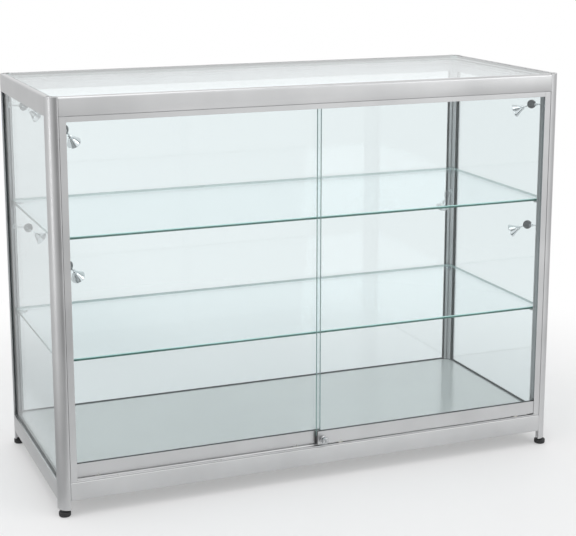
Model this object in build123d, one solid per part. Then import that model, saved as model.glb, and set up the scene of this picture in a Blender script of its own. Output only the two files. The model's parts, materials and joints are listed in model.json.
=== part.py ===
from build123d import *
import os
from math import sqrt

# Counter-height glass display showcase: four round-cornered aluminium posts joined by top and
# bottom rails, glass on the sides, back and top, two glass shelves, and two sliding glass doors
# that run on rollers in a double track on the front (-Y) side.
# Millimetres. The origin is on the floor under the middle of the case, +Z up, +X along the
# doors. The frame is described corner by corner and wall by wall, and every part that fits
# another takes its place from the same values.

# Overall size
CASE_WIDTH = 1200.0
CASE_DEPTH = 500.0
CASE_HEIGHT = 900.0

# Levelling feet
POST_CLEARANCE = 15.0      # floor to the cut end of a post
FOOT_INSET = 13.0          # foot axis from the two outer faces
FOOT_RADIUS = 13.0
FOOT_PAD_HEIGHT = 11.0
FOOT_EDGE = 3.5            # rounding of the pad's lower edge
FOOT_NECK_RADIUS = 7.0
FOOT_STOP_GAP = 0.3        # neck to post end when screwed right in
STUD_RADIUS = 3.3
STUD_LENGTH = 38.0
STUD_CLEARANCE = 0.08

# Glass and its seals
PANEL_GLASS = 5.0          # side and back panes
TOP_GLASS = 6.0
SHELF_GLASS = 6.0
DOOR_GLASS = 5.0
PANEL_SEAL = 0.8           # seal wall on each side of a pane
SEAL_BASE = 1.0            # seal under a pane's edge
SEAL_LIP = 1.5             # seal showing past the groove
PANE_GRIP = 6.5            # how far a pane goes into a groove
PANEL_SETBACK = 4.4        # outer face to the groove
TOP_SEAL = 1.4             # strip round the top pane
BASE_SEAL = 2.0            # strip round the base panel
POST_GAP = 1.0             # cut corners of a panel to a post's inner face

# Doors, their shoes and the double track
SHOE_SEAL = 0.6
SHOE_WALL = 0.9
SHOE_HEIGHT = 30.4
SHOE_CAVITY = 16.4         # open channel under the web, for the rollers
SHOE_WEB = 2.0
SHOE_CAP = 2.5             # end cap of a shoe
SHOE_GROUND_GAP = 4.6      # foot of the rollers to the shoe's underside
LANE_CLEARANCE = 0.5       # shoe to lane wall, each side
TRACK_WALL = 1.0
TRACK_BASE = 1.5
TRACK_SETBACK = 1.0        # outer face to the track
TRACK_LIP = 3.0            # front lip of the bottom track
TRACK_RIB = 4.5            # middle and rear ribs of the bottom track
TOP_TRACK_DROP = 12.0
JAMB_WIDTH = 15.0
DOOR_OVERLAP = 14.0        # the two doors pass each other by this much when shut
DOOR_END_GAP = 1.0         # shut door to the jamb's base
DOOR_TOP_GRIP = 6.5        # door glass inside the top track
ROLLER_RADIUS = 8.0
ROLLER_WIDTH = 4.6
ROLLER_LIFT = 0.02         # roller to lane floor
ROLLER_INSET = 60.0        # roller axle from a door's end
AXLE_RADIUS = 1.5
AXLE_CLEARANCE = 0.05

# Posts and rails
RAIL_HEIGHT = 40.0
BOTTOM_RAIL_LEVEL = 36.0   # floor to the underside of the bottom rails
RAIL_WALL = 2.0
RAIL_CAVITY = 22.0         # height of the box section inside a rail
TOP_RAIL_ROUND = 5.0
TOP_FLANGE = 12.0          # top rail's rim outside the top pane
TOP_PANE_DROP = 0.5        # rim above the top pane
BASE_PANEL = 6.0
BASE_LEDGE = 8.0           # front ledge under the base panel
LEDGE_THICKNESS = 3.0
GROOVE_LIP = 2.0           # post wall between a pane and the inner face
POST_TRACK_MARGIN = 3.0    # post face past the back of the track

# Slot on the inner 45 degree face of each post
SLOT_MOUTH = 5.0
SLOT_MOUTH_DEPTH = 1.5
SLOT_WIDTH = 8.0
SLOT_DEPTH = 4.0
SLOT_CLEARANCE = 0.1

# Corner connectors in the rail ends
CONNECTOR_LENGTH = 28.0
CONNECTOR_TONGUE = 7.0
CONNECTOR_TONGUE_HEIGHT = 14.0
CONNECTOR_CLEARANCE = 0.1

# Shelves and their clips
SHELF_LEVELS = {"shelf_lower": 336.0, "shelf_upper": 599.0}   # underside of each shelf
SHELF_END_GAP = 15.0       # shelf end to the case's outer face
SHELF_FRONT_GAP = 3.0      # shelf front to the back of the posts
SHELF_BACK_GAP = 18.0
SHELF_POST_GAP = 3.0
CLIP_PLATE = 2.4
PLATE_JAMB_GAP = 0.4       # clip plates and light rosettes to the jambs and tracks
CLIP_ABOVE = 5.0           # plate above and below the shelf's underside
CLIP_BELOW = 12.0
CLIP_NECK_WIDTH = 3.6
CLIP_NECK_HEIGHT = 8.0
CLIP_JAMB_GAP = 0.6        # tab to the jamb's rear corner
CLIP_TAB_LENGTH = 15.0
CLIP_TAB_WIDTH = 12.0
CLIP_TAB_THICKNESS = 3.0
CLIP_SCREW_RADIUS = 1.6
PAD_RADIUS = 3.5
PAD_THICKNESS = 1.0
PAD_REACH = 18.0           # pad centre from the post's inner face

# Spotlights on the posts
LIGHT_LEVELS = {"upper": 826.0, "lower": 539.0}
LIGHT_TILTS = {"front_left": 45.0, "front_right": 25.0, "back_right": 40.0, "back_left": 30.0}
LIGHT_REACH = 40.0         # post face to the tilting knuckle
LIGHT_FOOT_HEIGHT = 14.0
STEM_RADIUS = 1.8
KNUCKLE_RADIUS = 10.0
KNUCKLE_HALF = 3.8
KNUCKLE_GAP = 0.2          # each half to the middle plane
KNUCKLE_PIN = 1.5
LUG_HEIGHT = 7.0
ARM_RADIUS = 1.6
ARM_LENGTH = 26.0          # knuckle centre to the back of the shade
SHADE_BACK = 5.5
SHADE_MOUTH = 15.5
SHADE_DEPTH = 18.0
SHADE_WALL = 1.2
SHADE_NECK = 5.0
LAMP_RADIUS = 4.0
LAMP_LENGTH = 11.0

# Push lock on the right-hand door
LOCK_INSET = 15.0          # lock axis from the door's free end
LOCK_LEVEL = 11.9          # lock axis above the shoe's underside
LOCK_RADIUS = 10.0
LOCK_LENGTH = 11.0
LOCK_BACK = 1.2
LOCK_TRAVEL = 6.0
BUTTON_RADIUS = 7.5
BUTTON_SEAT = 3.5          # button inside the housing at rest
BUTTON_CLEARANCE = 0.1
NOSE_RADIUS = 3.5
NOSE_REACH = 2.6           # nose past the shoe's front face at rest
PLUG_RADIUS = 5.0
PLUG_CLEARANCE = 0.05
PLUG_DEPTH = 8.0
PLUG_PROUD = 0.6
KEYWAY_WIDTH = 1.4
KEYWAY_HEIGHT = 7.0
KEYWAY_DEPTH = 5.0

# Screws that hold the tracks and jambs
SCREW_RADIUS = 1.6
SCREW_HEAD_RADIUS = 2.8
SCREW_LENGTH = 9.0
SCREW_INSET = 90.0         # first screw from the end of a track or jamb
SCREW_COUNT = 5

# Sizes that follow from the ones above
PANEL_GROOVE = PANEL_GLASS + 2 * PANEL_SEAL
GROOVE_DEPTH = PANE_GRIP + SEAL_BASE
POST_LEG = PANEL_SETBACK + PANEL_GROOVE + GROOVE_LIP
SHOE_CHANNEL = DOOR_GLASS + 2 * SHOE_SEAL
SHOE_WIDTH = SHOE_CHANNEL + 2 * SHOE_WALL
LANE_WIDTH = SHOE_WIDTH + 2 * LANE_CLEARANCE
LANE_PITCH = LANE_WIDTH + TRACK_WALL
TRACK_DEPTH = 2 * LANE_WIDTH + 3 * TRACK_WALL
POST_SIZE = TRACK_SETBACK + TRACK_DEPTH + POST_TRACK_MARGIN
FACE_CENTRE = (POST_SIZE + POST_LEG) / 2
PLATE_HALF = (POST_SIZE - FACE_CENTRE - PLATE_JAMB_GAP) * sqrt(2) - CLIP_PLATE
HALF_WIDTH = CASE_WIDTH / 2
HALF_DEPTH = CASE_DEPTH / 2
TOP_RAIL_LEVEL = CASE_HEIGHT - RAIL_HEIGHT
OPENING_BOTTOM = BOTTOM_RAIL_LEVEL + RAIL_HEIGHT
RAIL_SPANS = {
    "front": CASE_WIDTH - 2 * POST_SIZE,
    "back": CASE_WIDTH - 2 * POST_SIZE,
    "left": CASE_DEPTH - 2 * POST_SIZE,
    "right": CASE_DEPTH - 2 * POST_SIZE,
}
# Each wall is made as if it were the front one, then turned into place.
WALLS = {
    "front": Location((0, -HALF_DEPTH, 0), (0, 0, 0)),
    "back": Location((0, HALF_DEPTH, 0), (0, 0, 180)),
    "left": Location((-HALF_WIDTH, 0, 0), (0, 0, -90)),
    "right": Location((HALF_WIDTH, 0, 0), (0, 0, 90)),
}
# Each corner is made with its outer edge at the origin and the case on its +x, +y side.
CORNERS = {
    "front_left": Location((-HALF_WIDTH, -HALF_DEPTH, 0), (0, 0, 0)),
    "front_right": Location((HALF_WIDTH, -HALF_DEPTH, 0), (0, 0, 90)),
    "back_right": Location((HALF_WIDTH, HALF_DEPTH, 0), (0, 0, 180)),
    "back_left": Location((-HALF_WIDTH, HALF_DEPTH, 0), (0, 0, 270)),
}
# From a corner to the middle of its 45 degree face: +x is then straight out of the slot.
FACE = Location((FACE_CENTRE, FACE_CENTRE, 0), (0, 0, 45))


def block(x_low, x_high, y_low, y_high, z_low, z_high):
    """A box between two corners."""
    centre = ((x_low + x_high) / 2, (y_low + y_high) / 2, (z_low + z_high) / 2)
    return Pos(*centre) * Box(x_high - x_low, y_high - y_low, z_high - z_low)


def rod_x(radius, x_low, x_high, y=0.0, z=0.0):
    """A round bar along x."""
    return Pos((x_low + x_high) / 2, y, z) * Rot(0, 90, 0) * Cylinder(radius, x_high - x_low)


def rod_y(radius, y_low, y_high, x=0.0, z=0.0):
    """A round bar along y."""
    return Pos(x, (y_low + y_high) / 2, z) * Rot(90, 0, 0) * Cylinder(radius, y_high - y_low)


def rod_z(radius, z_low, z_high, x=0.0, y=0.0):
    """An upright round bar."""
    return Pos(x, y, (z_low + z_high) / 2) * Cylinder(radius, z_high - z_low)


def along_wall(outline, length):
    """Extrude a section, drawn as depth and height, along a wall centred on x = 0."""
    face = Plane.YZ * make_face(Polyline(*outline, close=True))
    return Pos(-length / 2, 0, 0) * extrude(face, amount=length)


def cut_corners(panel, gap):
    """Cut a panel's four corners parallel to the posts' inner faces."""
    leg = POST_SIZE + POST_LEG + gap * sqrt(2)
    triangle = make_face(Polyline((0, 0), (leg, 0), (0, leg), close=True))
    corner = extrude(triangle, amount=CASE_HEIGHT)
    for place in CORNERS.values():
        panel -= place * corner
    return panel


# Screws of the tracks and jambs: countersunk, each one cut out of what it holds
def screw():
    """A countersunk screw pointing down, its head's top at the origin."""
    head = Pos(0, 0, -TRACK_BASE / 2) * Cone(SCREW_RADIUS, SCREW_HEAD_RADIUS, TRACK_BASE)
    return head + rod_z(SCREW_RADIUS, -SCREW_LENGTH, -TRACK_BASE)


def spaced(span):
    """Screw places along a span centred on zero."""
    first = span / 2 - SCREW_INSET
    return [-first + 2 * first * step / (SCREW_COUNT - 1) for step in range(SCREW_COUNT)]


FRONT_LANE = -HALF_DEPTH + TRACK_SETBACK + TRACK_WALL + LANE_WIDTH / 2
REAR_LANE = FRONT_LANE + LANE_PITCH
LANE_FLOOR = OPENING_BOTTOM + TRACK_BASE
TRACK_SPAN = CASE_WIDTH - 2 * (POST_SIZE + JAMB_WIDTH)
JAMB_FACE = HALF_WIDTH - POST_SIZE - TRACK_BASE
JAMB_MIDDLE = (OPENING_BOTTOM + TOP_RAIL_LEVEL) / 2
JAMB_SPAN = TOP_RAIL_LEVEL - OPENING_BOTTOM

bottom_screws = [Pos(x, FRONT_LANE, LANE_FLOOR) * screw() for x in spaced(TRACK_SPAN)]
top_screws = [
    Pos(x, FRONT_LANE, TOP_RAIL_LEVEL - TRACK_BASE) * Rot(180, 0, 0) * screw()
    for x in spaced(TRACK_SPAN)
]
jamb_screws = []
for height in spaced(JAMB_SPAN):
    level = JAMB_MIDDLE + height
    jamb_screws.append(Pos(-JAMB_FACE, FRONT_LANE, level) * Rot(0, 90, 0) * screw())
    jamb_screws.append(Pos(JAMB_FACE, FRONT_LANE, level) * Rot(0, -90, 0) * screw())

parts = {}

# Posts: quarter-round extrusions with a pane groove in each leg, a slot on the inner face
# and a round core that takes the foot's stud
section = Pos(POST_SIZE, POST_SIZE) * Circle(POST_SIZE)
section &= Pos(POST_SIZE / 2, POST_SIZE / 2) * Rectangle(POST_SIZE, POST_SIZE)
section -= make_face(
    Polyline((POST_SIZE, POST_LEG), (POST_SIZE, POST_SIZE), (POST_LEG, POST_SIZE), close=True)
)
groove_centre = PANEL_SETBACK + PANEL_GROOVE / 2
section -= Pos(groove_centre, POST_SIZE - GROOVE_DEPTH / 2) * Rectangle(PANEL_GROOVE, GROOVE_DEPTH)
section -= Pos(POST_SIZE - GROOVE_DEPTH / 2, groove_centre) * Rectangle(GROOVE_DEPTH, PANEL_GROOVE)
mouth = Pos(-SLOT_MOUTH_DEPTH / 2, 0) * Rectangle(SLOT_MOUTH_DEPTH, SLOT_MOUTH)
chamber = Pos(-(SLOT_MOUTH_DEPTH + SLOT_DEPTH) / 2, 0) * Rectangle(
    SLOT_DEPTH - SLOT_MOUTH_DEPTH, SLOT_WIDTH
)
section -= FACE * (mouth + chamber)
section -= Pos(FOOT_INSET, FOOT_INSET) * Circle(STUD_RADIUS + STUD_CLEARANCE)
post = Pos(0, 0, POST_CLEARANCE) * extrude(section, amount=CASE_HEIGHT - POST_CLEARANCE)
for corner, place in CORNERS.items():
    parts["post_" + corner] = place * post
for drilled in ("post_front_left", "post_front_right"):
    for fixing in jamb_screws:
        parts[drilled] -= fixing

# Rails: box sections that butt between the posts. The top rails have a rim round the top
# pane; the bottom rails have a ledge for the base panel; all but the front ones have a groove
groove = (PANEL_SETBACK, PANEL_SETBACK + PANEL_GROOVE)
PANE_SEAT = RAIL_HEIGHT - TOP_PANE_DROP - TOP_GLASS
PANEL_SEAT = RAIL_HEIGHT - BASE_PANEL
TOP_CAVITY = PANE_SEAT - RAIL_WALL
BOTTOM_CAVITY = RAIL_HEIGHT - GROOVE_DEPTH - RAIL_WALL


def top_rail(span, grooved):
    """A top rail along a wall."""
    outline = [
        (0, 0),
        (POST_SIZE, 0),
        (POST_SIZE, PANE_SEAT),
        (TOP_FLANGE, PANE_SEAT),
        (TOP_FLANGE, RAIL_HEIGHT),
        (0, RAIL_HEIGHT),
    ]
    rail = along_wall(outline, span)
    rim = rail.edges().filter_by(Axis.X).sort_by(Axis.Z)[-2:].sort_by(Axis.Y)[0]
    rail = fillet(rim, TOP_RAIL_ROUND)
    half = span / 2
    low = TOP_CAVITY - RAIL_CAVITY
    rail -= block(-half, half, RAIL_WALL, POST_SIZE - RAIL_WALL, low, TOP_CAVITY)
    if grooved:
        rail -= block(-half, half, *groove, 0, GROOVE_DEPTH)
    return rail


def bottom_rail(span, grooved):
    """A bottom rail along a wall."""
    if grooved:
        outline = [
            (0, 0),
            (POST_SIZE, 0),
            (POST_SIZE, PANEL_SEAT),
            (POST_LEG, PANEL_SEAT),
            (POST_LEG, RAIL_HEIGHT),
            (0, RAIL_HEIGHT),
        ]
    else:
        ledge = POST_SIZE + BASE_LEDGE
        outline = [
            (0, 0),
            (POST_SIZE, 0),
            (POST_SIZE, PANEL_SEAT - LEDGE_THICKNESS),
            (ledge, PANEL_SEAT - LEDGE_THICKNESS),
            (ledge, PANEL_SEAT),
            (POST_SIZE, PANEL_SEAT),
            (POST_SIZE, RAIL_HEIGHT),
            (0, RAIL_HEIGHT),
        ]
    rail = along_wall(outline, span)
    half = span / 2
    low = BOTTOM_CAVITY - RAIL_CAVITY
    rail -= block(-half, half, RAIL_WALL, POST_SIZE - RAIL_WALL, low, BOTTOM_CAVITY)
    if grooved:
        rail -= block(-half, half, *groove, RAIL_HEIGHT - GROOVE_DEPTH, RAIL_HEIGHT)
    return rail


for wall, place in WALLS.items():
    grooved = wall != "front"
    parts["top_rail_" + wall] = place * Pos(0, 0, TOP_RAIL_LEVEL) * top_rail(
        RAIL_SPANS[wall], grooved
    )
    parts["bottom_rail_" + wall] = place * Pos(0, 0, BOTTOM_RAIL_LEVEL) * bottom_rail(
        RAIL_SPANS[wall], grooved
    )
for fixing in top_screws:
    parts["top_rail_front"] -= fixing
for fixing in bottom_screws:
    parts["bottom_rail_front"] -= fixing

# Connectors: a zinc block inside each rail end, with a tongue into the post's groove
connectors = []
for wall, place in WALLS.items():
    half = RAIL_SPANS[wall] / 2
    ends = [("top", TOP_RAIL_LEVEL + TOP_CAVITY), ("bottom", BOTTOM_RAIL_LEVEL + BOTTOM_CAVITY)]
    for _, roof in ends:
        middle = roof - RAIL_CAVITY / 2
        for side in (-1, 1):
            body = block(
                half - CONNECTOR_LENGTH,
                half,
                RAIL_WALL + CONNECTOR_CLEARANCE,
                POST_SIZE - RAIL_WALL - CONNECTOR_CLEARANCE,
                roof - RAIL_CAVITY + CONNECTOR_CLEARANCE,
                roof - CONNECTOR_CLEARANCE,
            )
            body += block(
                half,
                half + CONNECTOR_TONGUE,
                groove[0] + CONNECTOR_CLEARANCE,
                groove[1] - CONNECTOR_CLEARANCE,
                middle - CONNECTOR_TONGUE_HEIGHT / 2,
                middle + CONNECTOR_TONGUE_HEIGHT / 2,
            )
            if side < 0:
                body = body.mirror(Plane.YZ)
            connectors.append(place * body)
for fixing in top_screws + bottom_screws + jamb_screws:
    connectors = [piece - fixing for piece in connectors]
parts["rail_connectors"] = Compound(children=connectors)

# Side and back panes, each in one continuous black seal
seals = []
for wall in ("left", "right", "back"):
    place = WALLS[wall]
    half = RAIL_SPANS[wall] / 2
    face = PANEL_SETBACK + PANEL_SEAL
    grip = PANE_GRIP
    pane = block(
        -half - grip,
        half + grip,
        face,
        face + PANEL_GLASS,
        OPENING_BOTTOM - grip,
        TOP_RAIL_LEVEL + grip,
    )
    seal = block(
        -half - GROOVE_DEPTH,
        half + GROOVE_DEPTH,
        *groove,
        OPENING_BOTTOM - GROOVE_DEPTH,
        TOP_RAIL_LEVEL + GROOVE_DEPTH,
    )
    seal -= block(
        -half + SEAL_LIP,
        half - SEAL_LIP,
        *groove,
        OPENING_BOTTOM + SEAL_LIP,
        TOP_RAIL_LEVEL - SEAL_LIP,
    )
    seal -= pane
    parts["glass_" + wall] = place * pane
    seals.append(place * seal)

# Top pane: lies on the rails' ledges inside their rim, a soft strip along each edge
pane_edge = TOP_FLANGE + TOP_SEAL
pane_low = TOP_RAIL_LEVEL + PANE_SEAT
pane_high = pane_low + TOP_GLASS
pane = block(
    -HALF_WIDTH + pane_edge,
    HALF_WIDTH - pane_edge,
    -HALF_DEPTH + pane_edge,
    HALF_DEPTH - pane_edge,
    pane_low,
    pane_high,
)
parts["glass_top"] = cut_corners(pane, POST_GAP)
for wall, place in WALLS.items():
    half = RAIL_SPANS[wall] / 2
    seals.append(place * block(-half, half, TOP_FLANGE, pane_edge, pane_low, pane_high))

# Base panel: rests on the rails' ledges level with their tops
panel_edge = POST_LEG + BASE_SEAL
panel_low = BOTTOM_RAIL_LEVEL + PANEL_SEAT
panel = block(
    -HALF_WIDTH + panel_edge,
    HALF_WIDTH - panel_edge,
    -HALF_DEPTH + POST_SIZE + POST_GAP / 2,
    HALF_DEPTH - panel_edge,
    panel_low,
    OPENING_BOTTOM,
)
parts["base_panel"] = cut_corners(panel, POST_GAP)
for wall in ("left", "right", "back"):
    half = RAIL_SPANS[wall] / 2
    strip = block(-half, half, POST_LEG, panel_edge, panel_low, OPENING_BOTTOM)
    seals.append(WALLS[wall] * strip)
parts["panel_seals"] = Compound(children=seals)

# Door tracks and jambs: the same double channel, opened upwards, downwards and inwards
track_back = TRACK_SETBACK + TRACK_DEPTH
lane_edges = [TRACK_SETBACK + TRACK_WALL, TRACK_SETBACK + TRACK_WALL + LANE_PITCH]
half = TRACK_SPAN / 2
track = block(-half, half, TRACK_SETBACK, track_back, 0, TRACK_RIB)
for edge in lane_edges:
    track -= block(-half, half, edge, edge + LANE_WIDTH, TRACK_BASE, TRACK_RIB)
front_wall = (TRACK_SETBACK, TRACK_SETBACK + TRACK_WALL)
track -= block(-half, half, *front_wall, TRACK_LIP, TRACK_RIB)
track = WALLS["front"] * Pos(0, 0, OPENING_BOTTOM) * track
for fixing in bottom_screws:
    track -= fixing
parts["door_track_bottom"] = track

guide = block(-half, half, TRACK_SETBACK, track_back, -TOP_TRACK_DROP, 0)
for edge in lane_edges:
    guide -= block(-half, half, edge, edge + LANE_WIDTH, -TOP_TRACK_DROP, -TRACK_BASE)
guide = WALLS["front"] * Pos(0, 0, TOP_RAIL_LEVEL) * guide
for fixing in top_screws:
    guide -= fixing
parts["door_track_top"] = guide

inner = HALF_WIDTH - POST_SIZE - JAMB_WIDTH
outer = HALF_WIDTH - POST_SIZE
jamb = block(inner, outer, TRACK_SETBACK, track_back, OPENING_BOTTOM, TOP_RAIL_LEVEL)
for edge in lane_edges:
    jamb -= block(
        inner, JAMB_FACE, edge, edge + LANE_WIDTH, OPENING_BOTTOM, TOP_RAIL_LEVEL
    )
for side, name in ((1, "door_jamb_right"), (-1, "door_jamb_left")):
    piece = jamb if side > 0 else jamb.mirror(Plane.YZ)
    piece = WALLS["front"] * piece
    for fixing in jamb_screws:
        piece -= fixing
    parts[name] = piece
parts["track_screws"] = Compound(children=bottom_screws + top_screws + jamb_screws)

# Shelf clips, their grub screws and pads, one set in each post's slot at each shelf
clips = []
clip_screws = []
pads = []
slot_half = SLOT_WIDTH / 2 - SLOT_CLEARANCE
mouth_half = SLOT_MOUTH / 2 - SLOT_CLEARANCE


def slot_foot(low, high):
    """The T-shaped foot that a fitting has inside a post's slot."""
    wide = block(
        -SLOT_DEPTH + SLOT_CLEARANCE,
        -SLOT_MOUTH_DEPTH - SLOT_CLEARANCE,
        -slot_half,
        slot_half,
        low,
        high,
    )
    return wide + block(-SLOT_MOUTH_DEPTH - SLOT_CLEARANCE, 0, -mouth_half, mouth_half, low, high)


tab_start = (track_back - FACE_CENTRE) * sqrt(2) + CLIP_TAB_WIDTH / 2 + CLIP_JAMB_GAP
clip_screw_level = CLIP_ABOVE / 2
clip = slot_foot(-CLIP_BELOW, CLIP_ABOVE)
clip += block(0, CLIP_PLATE, -PLATE_HALF, PLATE_HALF, -CLIP_BELOW, CLIP_ABOVE)
clip += block(
    CLIP_PLATE,
    tab_start + CLIP_TAB_THICKNESS,
    -CLIP_NECK_WIDTH / 2,
    CLIP_NECK_WIDTH / 2,
    -PAD_THICKNESS - CLIP_NECK_HEIGHT,
    -PAD_THICKNESS,
)
clip += block(
    tab_start,
    tab_start + CLIP_TAB_LENGTH,
    -CLIP_TAB_WIDTH / 2,
    CLIP_TAB_WIDTH / 2,
    -PAD_THICKNESS - CLIP_TAB_THICKNESS,
    -PAD_THICKNESS,
)
clip_screw = rod_x(CLIP_SCREW_RADIUS, -SLOT_DEPTH, CLIP_PLATE, z=clip_screw_level)
clip -= clip_screw
pad = rod_z(PAD_RADIUS, -PAD_THICKNESS, 0, x=PAD_REACH)
for level in SHELF_LEVELS.values():
    for place in CORNERS.values():
        seat = place * FACE * Pos(0, 0, level)
        clips.append(seat * clip)
        clip_screws.append(seat * clip_screw)
        pads.append(seat * pad)
parts["shelf_clips"] = Compound(children=clips)
parts["shelf_clip_screws"] = Compound(children=clip_screws)
parts["shelf_pads"] = Compound(children=pads)

# Glass shelves with their corners cut to pass the posts
for name, level in SHELF_LEVELS.items():
    shelf = block(
        -HALF_WIDTH + SHELF_END_GAP,
        HALF_WIDTH - SHELF_END_GAP,
        -HALF_DEPTH + POST_SIZE + SHELF_FRONT_GAP,
        HALF_DEPTH - SHELF_BACK_GAP,
        level,
        level + SHELF_GLASS,
    )
    parts[name] = cut_corners(shelf, SHELF_POST_GAP)

# Spotlights: a bracket clamped in the slot, and a shade that tilts on the bracket's knuckle
bracket = slot_foot(-LIGHT_FOOT_HEIGHT / 2, LIGHT_FOOT_HEIGHT / 2)
bracket += rod_x(PLATE_HALF, 0, CLIP_PLATE)
stem_end = LIGHT_REACH - KNUCKLE_RADIUS - STEM_RADIUS
bracket += rod_x(STEM_RADIUS, CLIP_PLATE, stem_end)
lug_start = stem_end - STEM_RADIUS
half_lug = LUG_HEIGHT / 2
bracket += block(lug_start, LIGHT_REACH, KNUCKLE_GAP, KNUCKLE_HALF, -half_lug, half_lug)
bracket += rod_y(KNUCKLE_RADIUS, KNUCKLE_GAP, KNUCKLE_HALF, x=LIGHT_REACH)
bracket += rod_y(KNUCKLE_PIN, -KNUCKLE_HALF, KNUCKLE_GAP, x=LIGHT_REACH)

arm_side = -(KNUCKLE_GAP + KNUCKLE_HALF) / 2
shade_end = ARM_LENGTH + SHADE_DEPTH
head = rod_y(KNUCKLE_RADIUS, -KNUCKLE_HALF, -KNUCKLE_GAP)
head += rod_x(ARM_RADIUS, KNUCKLE_RADIUS / 2, ARM_LENGTH - SHADE_WALL, y=arm_side)
head += rod_x(SHADE_NECK, ARM_LENGTH - SHADE_NECK, ARM_LENGTH + SHADE_WALL, y=arm_side)
head -= rod_y(KNUCKLE_PIN + AXLE_CLEARANCE, -KNUCKLE_HALF, -KNUCKLE_GAP)
cup = Cone(SHADE_BACK, SHADE_MOUTH, SHADE_DEPTH)
cup -= Pos(0, 0, SHADE_WALL) * Cone(SHADE_BACK - SHADE_WALL, SHADE_MOUTH - SHADE_WALL, SHADE_DEPTH)
head += Pos(ARM_LENGTH + SHADE_DEPTH / 2, arm_side, 0) * Rot(0, 90, 0) * cup
lamp_start = ARM_LENGTH + SHADE_WALL
lamp = rod_x(LAMP_RADIUS, lamp_start, lamp_start + LAMP_LENGTH, y=arm_side)
head -= lamp

brackets = []
for level_name, level in LIGHT_LEVELS.items():
    for corner, place in CORNERS.items():
        seat = place * FACE * Pos(0, 0, level)
        brackets.append(seat * bracket)
        tilted = seat * Pos(LIGHT_REACH, 0, 0) * Rot(0, LIGHT_TILTS[corner], 0)
        name = "light_" + level_name + "_" + corner
        parts[name] = Compound(children=[tilted * head, tilted * lamp])
parts["light_brackets"] = Compound(children=brackets)

# Sliding doors: a pane in an aluminium shoe, black seal between them, rollers in the shoe.
# The right-hand door runs in the front lane and the left-hand one in the rear lane
shoe_low = LANE_FLOOR + ROLLER_LIFT + SHOE_GROUND_GAP
shoe_high = shoe_low + SHOE_HEIGHT
channel_low = shoe_low + SHOE_CAVITY + SHOE_WEB
pane_foot = channel_low + SHOE_SEAL
pane_head = TOP_RAIL_LEVEL - TOP_TRACK_DROP + DOOR_TOP_GRIP
axle_level = LANE_FLOOR + ROLLER_LIFT + ROLLER_RADIUS
shut_end = JAMB_FACE - DOOR_END_GAP
lock_x = -DOOR_OVERLAP / 2 + LOCK_INSET
lock_z = shoe_low + LOCK_LEVEL
lock_face = FRONT_LANE - SHOE_WIDTH / 2

for side, lane in (("right", FRONT_LANE), ("left", REAR_LANE)):
    if side == "right":
        low, high = -DOOR_OVERLAP / 2, shut_end
    else:
        low, high = -shut_end, DOOR_OVERLAP / 2
    glass_y = (lane - DOOR_GLASS / 2, lane + DOOR_GLASS / 2)
    seal_y = (lane - SHOE_CHANNEL / 2, lane + SHOE_CHANNEL / 2)
    shoe_y = (lane - SHOE_WIDTH / 2, lane + SHOE_WIDTH / 2)
    inner_x = (low + SHOE_CAP, high - SHOE_CAP)
    pane = block(low, high, *glass_y, pane_foot, pane_head)
    shoe = block(*inner_x, *shoe_y, shoe_low, shoe_high)
    shoe -= block(*inner_x, *seal_y, shoe_low, shoe_low + SHOE_CAVITY)
    shoe -= block(*inner_x, *seal_y, channel_low, shoe_high)
    seal = block(*inner_x, *seal_y, channel_low, shoe_high + SHOE_SEAL) - pane
    caps = [
        block(low, inner_x[0], *shoe_y, shoe_low, shoe_high) - pane,
        block(inner_x[1], high, *shoe_y, shoe_low, shoe_high) - pane,
    ]
    axles = []
    for number, axle_x in enumerate((low + ROLLER_INSET, high - ROLLER_INSET), start=1):
        axle = rod_y(AXLE_RADIUS, *shoe_y, x=axle_x, z=axle_level)
        shoe -= axle
        axles.append(axle)
        half_roller = ROLLER_WIDTH / 2
        roller = rod_y(
            ROLLER_RADIUS, lane - half_roller, lane + half_roller, x=axle_x, z=axle_level
        )
        roller -= rod_y(
            AXLE_RADIUS + AXLE_CLEARANCE,
            lane - half_roller,
            lane + half_roller,
            x=axle_x,
            z=axle_level,
        )
        parts[f"roller_{side}_{number}"] = roller
    if side == "right":
        shoe -= rod_y(NOSE_RADIUS + BUTTON_CLEARANCE, *shoe_y, x=lock_x, z=lock_z)
    parts["door_glass_" + side] = pane
    parts["door_shoe_" + side] = shoe
    parts["shoe_seal_" + side] = seal
    parts["shoe_caps_" + side] = Compound(children=caps)
    parts["roller_axles_" + side] = Compound(children=axles)

# Push lock: housing on the shoe, a sprung button with the locking nose, and the key plug
housing = rod_y(LOCK_RADIUS, lock_face - LOCK_LENGTH, lock_face, x=lock_x, z=lock_z)
housing = fillet(housing.edges().sort_by(Axis.Y)[0], 1.0)
housing -= rod_y(
    BUTTON_RADIUS + BUTTON_CLEARANCE,
    lock_face - LOCK_LENGTH,
    lock_face - LOCK_BACK,
    x=lock_x,
    z=lock_z,
)
housing -= rod_y(NOSE_RADIUS + BUTTON_CLEARANCE, lock_face - LOCK_BACK, lock_face, lock_x, lock_z)
parts["lock_housing"] = housing

button_back = lock_face - LOCK_LENGTH + BUTTON_SEAT
button_front = lock_face - LOCK_LENGTH - LOCK_TRAVEL
button = rod_y(BUTTON_RADIUS, button_front, button_back, x=lock_x, z=lock_z)
button = fillet(button.edges().sort_by(Axis.Y)[0], 0.8)
button += rod_y(NOSE_RADIUS, button_back, lock_face + NOSE_REACH, x=lock_x, z=lock_z)
button -= rod_y(
    PLUG_RADIUS + PLUG_CLEARANCE, button_front, button_front + PLUG_DEPTH, x=lock_x, z=lock_z
)
parts["lock_button"] = button

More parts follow.
